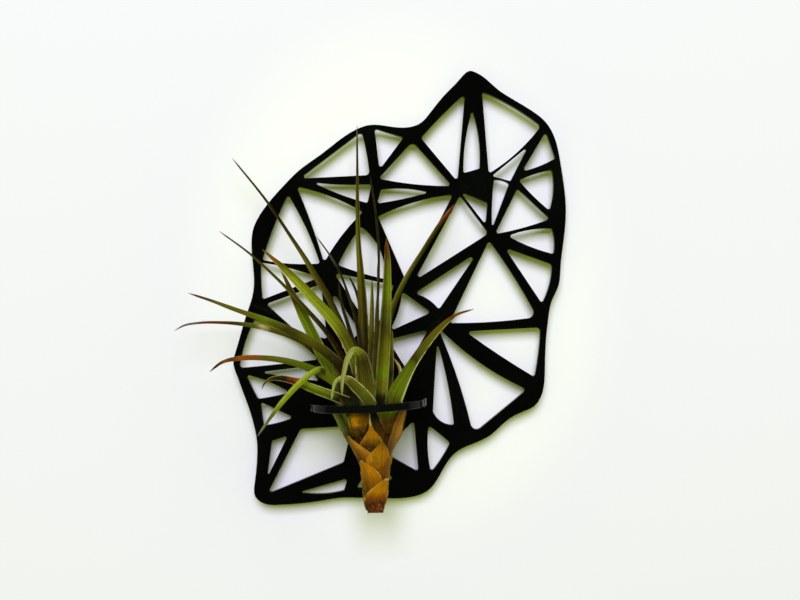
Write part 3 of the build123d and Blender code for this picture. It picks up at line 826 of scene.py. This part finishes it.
def sheath_grid(traced):
    """A sheath wrapped on the stem: at each height the two edges are traced, an ellipse as thick as the sheath is laid
    round the stem between them, and its edges curl out with the fourth power of the distance from the middle. Long
    folds are a sine of seven waves across, and two sines across make the foot ragged. Where the sheath spans less than
    12 degrees, its thickness, curl and folds shrink in proportion, down to a least share."""
    traced = np.array(traced, float)
    at = np.linspace(0, len(traced) - 1, SHEATH_ROWS)
    y_px, left, right, off = (np.interp(at, np.arange(len(traced)), column)[:, None] for column in traced.T)
    for _ in range(EDGE_SMOOTHINGS):
        for edge in (left, right):
            edge[1:-1] = (edge[:-2] + 2 * edge[1:-1] + edge[2:]) / 4
    low, high = facing(left + fray(phase=0.9), y_px, off), facing(right + fray(phase=2.3), y_px, off)
    turn = turns(SHEATH_AROUND)
    side = np.cos(turn)[None, :]
    degrees = (low + high) / 2 + (high - low) / 2 * side
    width = np.clip((high - low) / FULL_SPAN, LEAST_SPAN_SHARE, 1)
    folds = SHEATH_FOLD_PX * width * np.sin(22 * side + 3 * y_px / 10)
    rise = off + folds + SHEATH_CURL_PX * width * side**4 + np.sin(turn) * SHEATH_THICKNESS_PX / 2 * width
    share = np.linspace(0, 1, SHEATH_ROWS)[:, None]
    torn = (1.1 * np.sin(9 * side + 0.8) + 0.8 * np.sin(23 * side + 2)) * share**10
    grid = round_stem(*np.broadcast_arrays(y_px + torn, degrees, rise))
    return grid, np.stack(np.broadcast_arrays((side + 1) / 2, share), -1)


AMBER = tone(176, 118, 8)
RUST = tone(134, 82, 8)
UMBER = tone(80, 52, 10)
MOSS = tone(122, 130, 34)
CREAM = tone(206, 184, 110)
# The next tone is painted shade: the dark of the hollow at the core's crown and of the shelf's shadow on the sheaths.
PAINTED_DEEP_SHADE = tone(24, 34, 14)
TORN = tone(112, 54, 20)

# Dry sheaths from the free end down: y, left edge and right edge on the photo, and offset from the stem's outline; then
# the tones from the free end to the foot, and for the left and the right side how light the flank is, which is painted
# shade and light, and how pale the edge
# The tones that darken towards each sheath's foot are partly its own brown and partly painted shade where it is
# covered.
sheaths = {
    "dry_sheath_left": (
        [(405, 330, 337, 0.4), (411, 332.4, 338.6, 0.6), (418, 335.4, 342, 0.6), (425, 338.8, 345.5, 0.5),
         (432, 342.2, 348.8, 0.3), (439, 346.2, 352.5, 0), (446, 350, 356, -0.5), (454, 354, 359, -1.2)],
        [(0, MOSS), (0.4, MOSS), (0.7, DARK_OLIVE), (1, UMBER)],
        (1.3, 0.4), (1.0, 0),
    ),
    "sheath_second_left": (
        [(406, 337.5, 349, -0.9), (411, 338.6, 349.6, -0.8), (416, 341, 350.4, -0.9), (422, 343.8, 351.4, -1.1),
         (430, 347.4, 353.4, -1.6), (437, 350.6, 355.4, -2.2)],
        [(0, MOSS), (0.3, MOSS), (0.6, OLIVE), (1, UMBER)],
        (1.1, 1.0), (0.5, 0),
    ),
    # Its dark top is painted shadow of the shelf.
    "sheath_inner_left": (
        [(408, 349.5, 369, -2.6), (412, 348.6, 369, -1.8), (417, 348.2, 368.5, -1.4), (422, 348.6, 368, -1.4),
         (427, 350, 367, -1.8), (432, 353, 365, -2.6), (437, 356, 363, -3.8)],
        [(0, PAINTED_DEEP_SHADE), (0.22, UMBER), (0.36, AMBER), (0.6, AMBER), (0.74, UMBER), (1, UMBER)],
        (1.9, 0.5), (0.1, 0),
    ),
    # Its bright top is painted light, set against the shelf's shadow that falls there.
    "sheath_inner_right": (
        [(404, 374, 402, -1.5), (409, 375.5, 401, -1.2), (414, 377, 399.5, -1.3), (420, 379.5, 397, -1.7),
         (427, 382.5, 393.5, -2.4), (434, 385.5, 390, -3.6)],
        [(0, BRIGHT), (0.26, BRIGHT), (0.42, OLIVE), (0.62, UMBER), (1, UMBER)],
        (1.1, 1.4), (0.3, 0),
    ),
    "dry_sheath_right": (
        [(403, 400, 407, 0.5), (409, 399, 405.8, 0.8), (414, 397.2, 404.9, 0.8), (420, 395, 403.7, 0.7),
         (427, 392.4, 402, 0.6), (435, 390, 399.5, 0.4), (443, 387.5, 395.6, 0), (450, 386, 391.8, -0.4),
         (458, 385.5, 389, -1.2)],
        [(0, RUST), (0.14, RUST), (0.3, AMBER), (0.6, AMBER), (0.8, RUST), (1, UMBER)],
        (0.6, 1.15), (0, 0.7),
    ),
    "dry_sheath_back": (
        [(410, 408, 470, 0), (420, 406, 466, 0), (435, 402, 452, 0), (450, 394, 432, -0.5), (465, 392, 416, -1),
         (476, 390, 404, -1.5)],
        [(0, MOSS), (0.3, RUST), (1, UMBER)],
        (1, 1), (0.4, 0.4),
    ),
    "dry_sheath_front": (
        [(413.5, 369, 369.7, 4), (419, 368.9, 370.8, 3.6), (424, 369.2, 371.4, 3.1), (429, 368.8, 373.2, 2.6),
         (433, 366.8, 376.6, 2.2), (437, 364.8, 380, 1.8), (441, 361.6, 382, 1.4), (446, 359.5, 382.6, 1),
         (452, 360, 381, 0.4), (460, 363, 378, -1), (466, 366, 376, -2)],
        [(0, CREAM), (0.14, CREAM), (0.24, AMBER), (0.5, AMBER), (0.72, UMBER), (1, UMBER)],
        (1.0, 0.9), (0.5, 0.6),
    ),
    "sheath_left_band": (
        [(436, 347.4, 349.4, 1.4), (440, 348.6, 353.6, 1.8), (444, 350.4, 358.6, 2), (448, 352.4, 364, 2),
         (452.5, 354.6, 370, 1.9), (458, 357.4, 372, 1.5), (464, 360.4, 372.5, 0.8), (472, 362, 372, -0.2),
         (480, 363, 372, -1.2)],
        [(0, AMBER), (0.35, AMBER), (0.55, RUST), (1, UMBER)],
        (0.55, 1.4), (0.3, 0.8),
    ),
    "dry_sheath_front_low": (
        [(441, 382, 382.8, 2.6), (444, 379.6, 384.8, 2.5), (448, 375.6, 386.6, 2.4), (452.5, 371, 388.2, 2.2),
         (458, 366.5, 389, 1.9), (464, 366, 388.6, 1.4), (472, 369, 386.5, 0.8), (480, 373, 385, 0),
         (487, 375, 384, -1)],
        [(0, RUST), (0.3, AMBER), (0.5, AMBER), (0.75, RUST), (1, UMBER)],
        (1.0, 0.8), (0.3, 0.4),
    ),
    "sheath_narrow_right": (
        [(454, 390.4, 391.4, 2.2), (458, 388.4, 391.6, 2.4), (464, 385.6, 390.4, 2.4), (470, 383.4, 389.2, 2.3),
         (476, 382, 388.2, 2.1), (483, 381, 387.8, 1.4), (490, 380.5, 387.5, 0.4), (496, 381, 387, -0.6)],
        [(0, AMBER), (0.4, RUST), (1, UMBER)],
        (0.7, 1.1), (0.2, 0.5),
    ),
    "dry_sheath_low_left": (
        [(460.5, 360.6, 362, 2.6), (463, 360.4, 366.5, 2.8), (466, 360.8, 371, 2.9), (470, 361.2, 376, 2.9),
         (474, 361.6, 379.4, 2.8), (479, 362, 381.6, 2.6), (485, 362.6, 382, 2.2), (492, 363.2, 381, 1.6),
         (499, 363.8, 380, 1), (506, 365.4, 379, 0)],
        [(0, CREAM), (0.08, AMBER), (0.35, AMBER), (0.6, RUST), (0.85, UMBER), (1, TORN)],
        (0.8, 1.1), (0.3, 0.9),
    ),
    "sheath_low_right": (
        [(478.5, 384.5, 388, 3), (481, 381.4, 387.9, 3.2), (485, 376.5, 387.8, 3.3), (489, 371.8, 387.7, 3.1),
         (493.5, 367, 387.4, 2.8), (497, 364.8, 386.8, 2.4), (500.5, 364.4, 386.2, 2), (503.5, 364.6, 385.4, 1.7)],
        [(0, CREAM), (0.12, AMBER), (0.5, AMBER), (0.7, RUST), (0.85, TORN), (1, UMBER)],
        (1.0, 0.9), (0.8, 0.3),
    ),
    "dry_sheath_low_back": (
        [(478, 392, 410, 0), (486, 389, 408, 0), (495, 388, 405, 0), (503, 386, 401, 0)],
        [(0, AMBER), (0.5, RUST), (1, TORN)],
        (1, 1), (0.3, 0.3),
    ),
}
for name, (traced, stops, painted_flank_light, edges) in sheaths.items():
    grid, shares = sheath_grid(traced)
    papery = finish(name + "_paper", sheath_finish(stops, painted_flank_light, edges))
    made = piece(name.removeprefix("dry_"), *tube(grid), papery, "dry_sheath", "air_plant", shares)
    if name in nodes:
        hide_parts(name)


def core_skin(start):
    """Packed leaf bases: dark green above, painted shade where the crown sinks into the hollow among the leaves and
    sheaths, dry brown below, with long fibres and a crumbling foot.
    """
    _, along, uv = blade_shares(start)
    place = object_place(start)
    drift = place.noise(180, 3) - 0.5
    stops = [(0, PAINTED_SHADE_GREEN), (0.16, PAINTED_DEEP_SHADE), (0.26, UMBER), (0.5, UMBER), (0.86, RUST), (0.93, TORN), (1, TORN)]
    body = start.add("ValToRGB", {"stops": stops}, {"Fac": along + drift * 0.08})
    fibres = uv.stretched(60, 3, 1).noise(1, 4, 0.65)
    body = (fibres.step(0.4, 0.65) * 0.6).mixed(body, (0.35, 0.28, 0.2, 1), "MULTIPLY")
    bump = start.add("Bump", None, {"Strength": 0.8, "Distance": 0.3 * MM, "Height": fibres})
    crumbs = place.noise(900, 4, 0.7)
    body = (crumbs.step(0.5, 0.62) * along.step(0.85, 0.95) * 0.7).mixed(body, tone(60, 24, 10))
    body = (crumbs.step(0.44, 0.36) * along.step(0.88, 0.97) * 0.7).mixed(body, tone(176, 120, 60))
    return {"Base Color": body, "Roughness": 0.6 + fibres * 0.2, "Normal": bump, "Specular IOR Level": 0.2}


CORE_ROWS = 90
CORE_AROUND = 120
CORE_TOP_PX, CORE_FOOT_PX, CORE_LOWEST_PX = 400, 511, 513
CORE_INSET_PX = 2.2


def bell(y_px, rise, middle, reach):
    """A bell curve: its rise times e to the minus square of the distance from its middle over its reach."""
    return rise * np.exp(-(((y_px - middle) / reach) ** 2))


def core_grid():
    """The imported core: round the stem at every height, inside its outline, with ribs that are a sum of two sines round
    it. Bell curves over the height sink its crown and its waist and swell its foot, which is lumpy and ragged: its
    length goes up and down with three other sines."""
    share = np.linspace(0, 1, CORE_ROWS)[:, None]
    turn = turns(CORE_AROUND)
    ragged = 1.5 * np.sin(5 * turn + 0.6) + 1.2 * np.sin(11 * turn + 2.1) + 0.7 * np.sin(23 * turn)
    height = CORE_TOP_PX + share * (CORE_FOOT_PX - CORE_TOP_PX)
    y_px = np.clip(height + ragged * share**10, CORE_TOP_PX, CORE_LOWEST_PX)
    ribs = 0.5 * np.sin(13 * turn + 5 * share) + 0.35 * np.sin(29 * turn - 4 * share)
    crown = bell(y_px, rise=-20, middle=CORE_TOP_PX, reach=4.5)
    waist, foot = bell(y_px, rise=-2.2, middle=430, reach=16), bell(y_px, rise=1.8, middle=507, reach=8)
    lumps = (0.7 * np.sin(9 * turn + y_px / 2) + 0.5 * np.sin(19 * turn - y_px / 1.1)) * share**8
    grid = round_stem(y_px, np.degrees(turn), crown + (waist - CORE_INSET_PX + foot) + ribs + lumps)
    return grid, np.stack(np.broadcast_arrays(turn / (2 * np.pi), share), -1)


grid, shares = core_grid()
made = piece("packed_core", *tube(grid), finish("core_skin", core_skin), "stem", "air_plant", shares)
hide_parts("stem_core")

# Wall, light and camera

# Half the wall's width, its gap behind the pads, and the middle and reach of its painted light, a brighter,
# yellow-green part round the panel
WALL_SPAN = 3.0
WALL_GAP = 0.3 * MM
PAINTED_LIGHT_MIDDLE = (-0.034, 0, -0.036)
PAINTED_LIGHT_OUT_TO, PLAIN_FROM = 0.055, 0.11


def painted_light_wall(start):
    """White paint that is brighter and yellow-greener round the panel, as painted light where the panel and the plant
    keep the room's light off the wall and a painted yellow-green tint of their shadows, and that can't be seen from
    behind. The painted part is an upright oval: its middle and reach are measured with heights shrunk to 0.8."""
    place = object_place(start).stretched(1, 1, 0.8)
    far = place.add("VectorMath", {"operation": "DISTANCE"}, {0: place, 1: PAINTED_LIGHT_MIDDLE}, "Value")
    painted_light_tint, plain = (0.942, 0.988, 0.852, 1), (0.838, 0.852, 0.84, 1)
    paint = far.step(PAINTED_LIGHT_OUT_TO, PLAIN_FROM).mixed(painted_light_tint, plain)
    pale = start.add("BsdfDiffuse", None, {"Color": paint})
    clear = start.add("BsdfTransparent", None, {"Color": (1, 1, 1, 1)})
    behind = start.add("NewGeometry", output="Backfacing")
    camera = start.add("LightPath", output="Is Camera Ray")
    return start.add("MixShader", None, {0: behind * camera, 1: pale, 2: clear})


wall_mesh = bpy.data.meshes.new("wall")
corners = [(x * WALL_SPAN, WALL_GAP, z * WALL_SPAN) for x, z in ((-1, -1), (1, -1), (1, 1), (-1, 1))]
wall_mesh.from_pydata(corners, [], [[0, 1, 2, 3]])
wall_mesh.materials.append(finish("wall_paint_and_painted_light", painted_light_wall))
made = bpy.data.objects.new("wall", wall_mesh)
bpy.context.scene.collection.objects.link(made)


def placed(x, y, z, place):
    """The matrix that puts an object at a place with its three axes along three directions."""
    return Matrix(np.vstack([np.stack([x, y, z, place], 1), [0, 0, 0, 1]]).tolist())


def lamp(name, place, target, size, power, colour):
    """A soft square lamp that faces its target and doesn't show in the gloss."""
    light = bpy.data.lights.new(name, "AREA")
    light.shape = "SQUARE"
    light.size = size
    light.energy = power
    light.color = colour
    made = bpy.data.objects.new(name, light)
    bpy.context.scene.collection.objects.link(made)
    place, target = np.array(place), np.array(target)
    z = unit(place - target)
    x = unit(np.cross([0, 0, 1], z))
    made.matrix_world = placed(x, np.cross(z, x), z, place)
    made.visible_glossy = False


lamp(
    "key_light",
    place=(-0.1, -2.83, 1.2),
    target=(-0.02, -0.02, -0.05),
    size=1.6,
    power=119.0,
    colour=(0.7, 0.64, 0.98),
)

# What lights the pieces, what shows in their gloss, and what the camera sees past the wall
ROOM = {"Color": (0.83, 1, 0.1, 1), "Strength": 0.42}
IN_THE_GLOSS = {"Color": (0.86, 1, 0.74, 1), "Strength": 0.02}
PAST_THE_WALL = {"Color": (0.96, 0.985, 0.955, 1), "Strength": 1.0}

world = bpy.data.worlds.new("studio")
bpy.context.scene.world = world
world.use_nodes = True
tree = world.node_tree
tree.nodes.clear()
start = Wire(tree)
to_camera = start.add("LightPath", output="Is Camera Ray")
in_gloss = start.add("LightPath", output="Is Glossy Ray")
room, dark, white = (start.add("Background", None, kind) for kind in (ROOM, IN_THE_GLOSS, PAST_THE_WALL))
light = start.add("MixShader", None, {0: in_gloss, 1: room, 2: dark})
light = start.add("MixShader", None, {0: to_camera, 1: light, 2: white})
start.add("OutputWorld", None, {"Surface": light})

SENSOR_WIDTH_MM = 36
NEAREST_SEEN, FARTHEST_SEEN = 0.01, 20

eye = eye_foot + (PANEL_FRONT + EYE_DISTANCE) * out_of_wall
lens = bpy.data.cameras.new("view")
lens.sensor_width = SENSOR_WIDTH_MM
lens.lens = SENSOR_WIDTH_MM * EYE_DISTANCE / (PHOTO_WIDTH_PX * PANEL_PX)
lens.shift_x = (PHOTO_WIDTH_PX / 2 - EYE_X_PX) / PHOTO_WIDTH_PX
lens.clip_start, lens.clip_end = NEAREST_SEEN, FARTHEST_SEEN
camera = bpy.data.objects.new("view", lens)
bpy.context.scene.collection.objects.link(camera)
camera.matrix_world = placed(image_right, image_up, out_of_wall, eye)
bpy.context.scene.camera = camera
bpy.context.scene.view_settings.view_transform = "Standard"
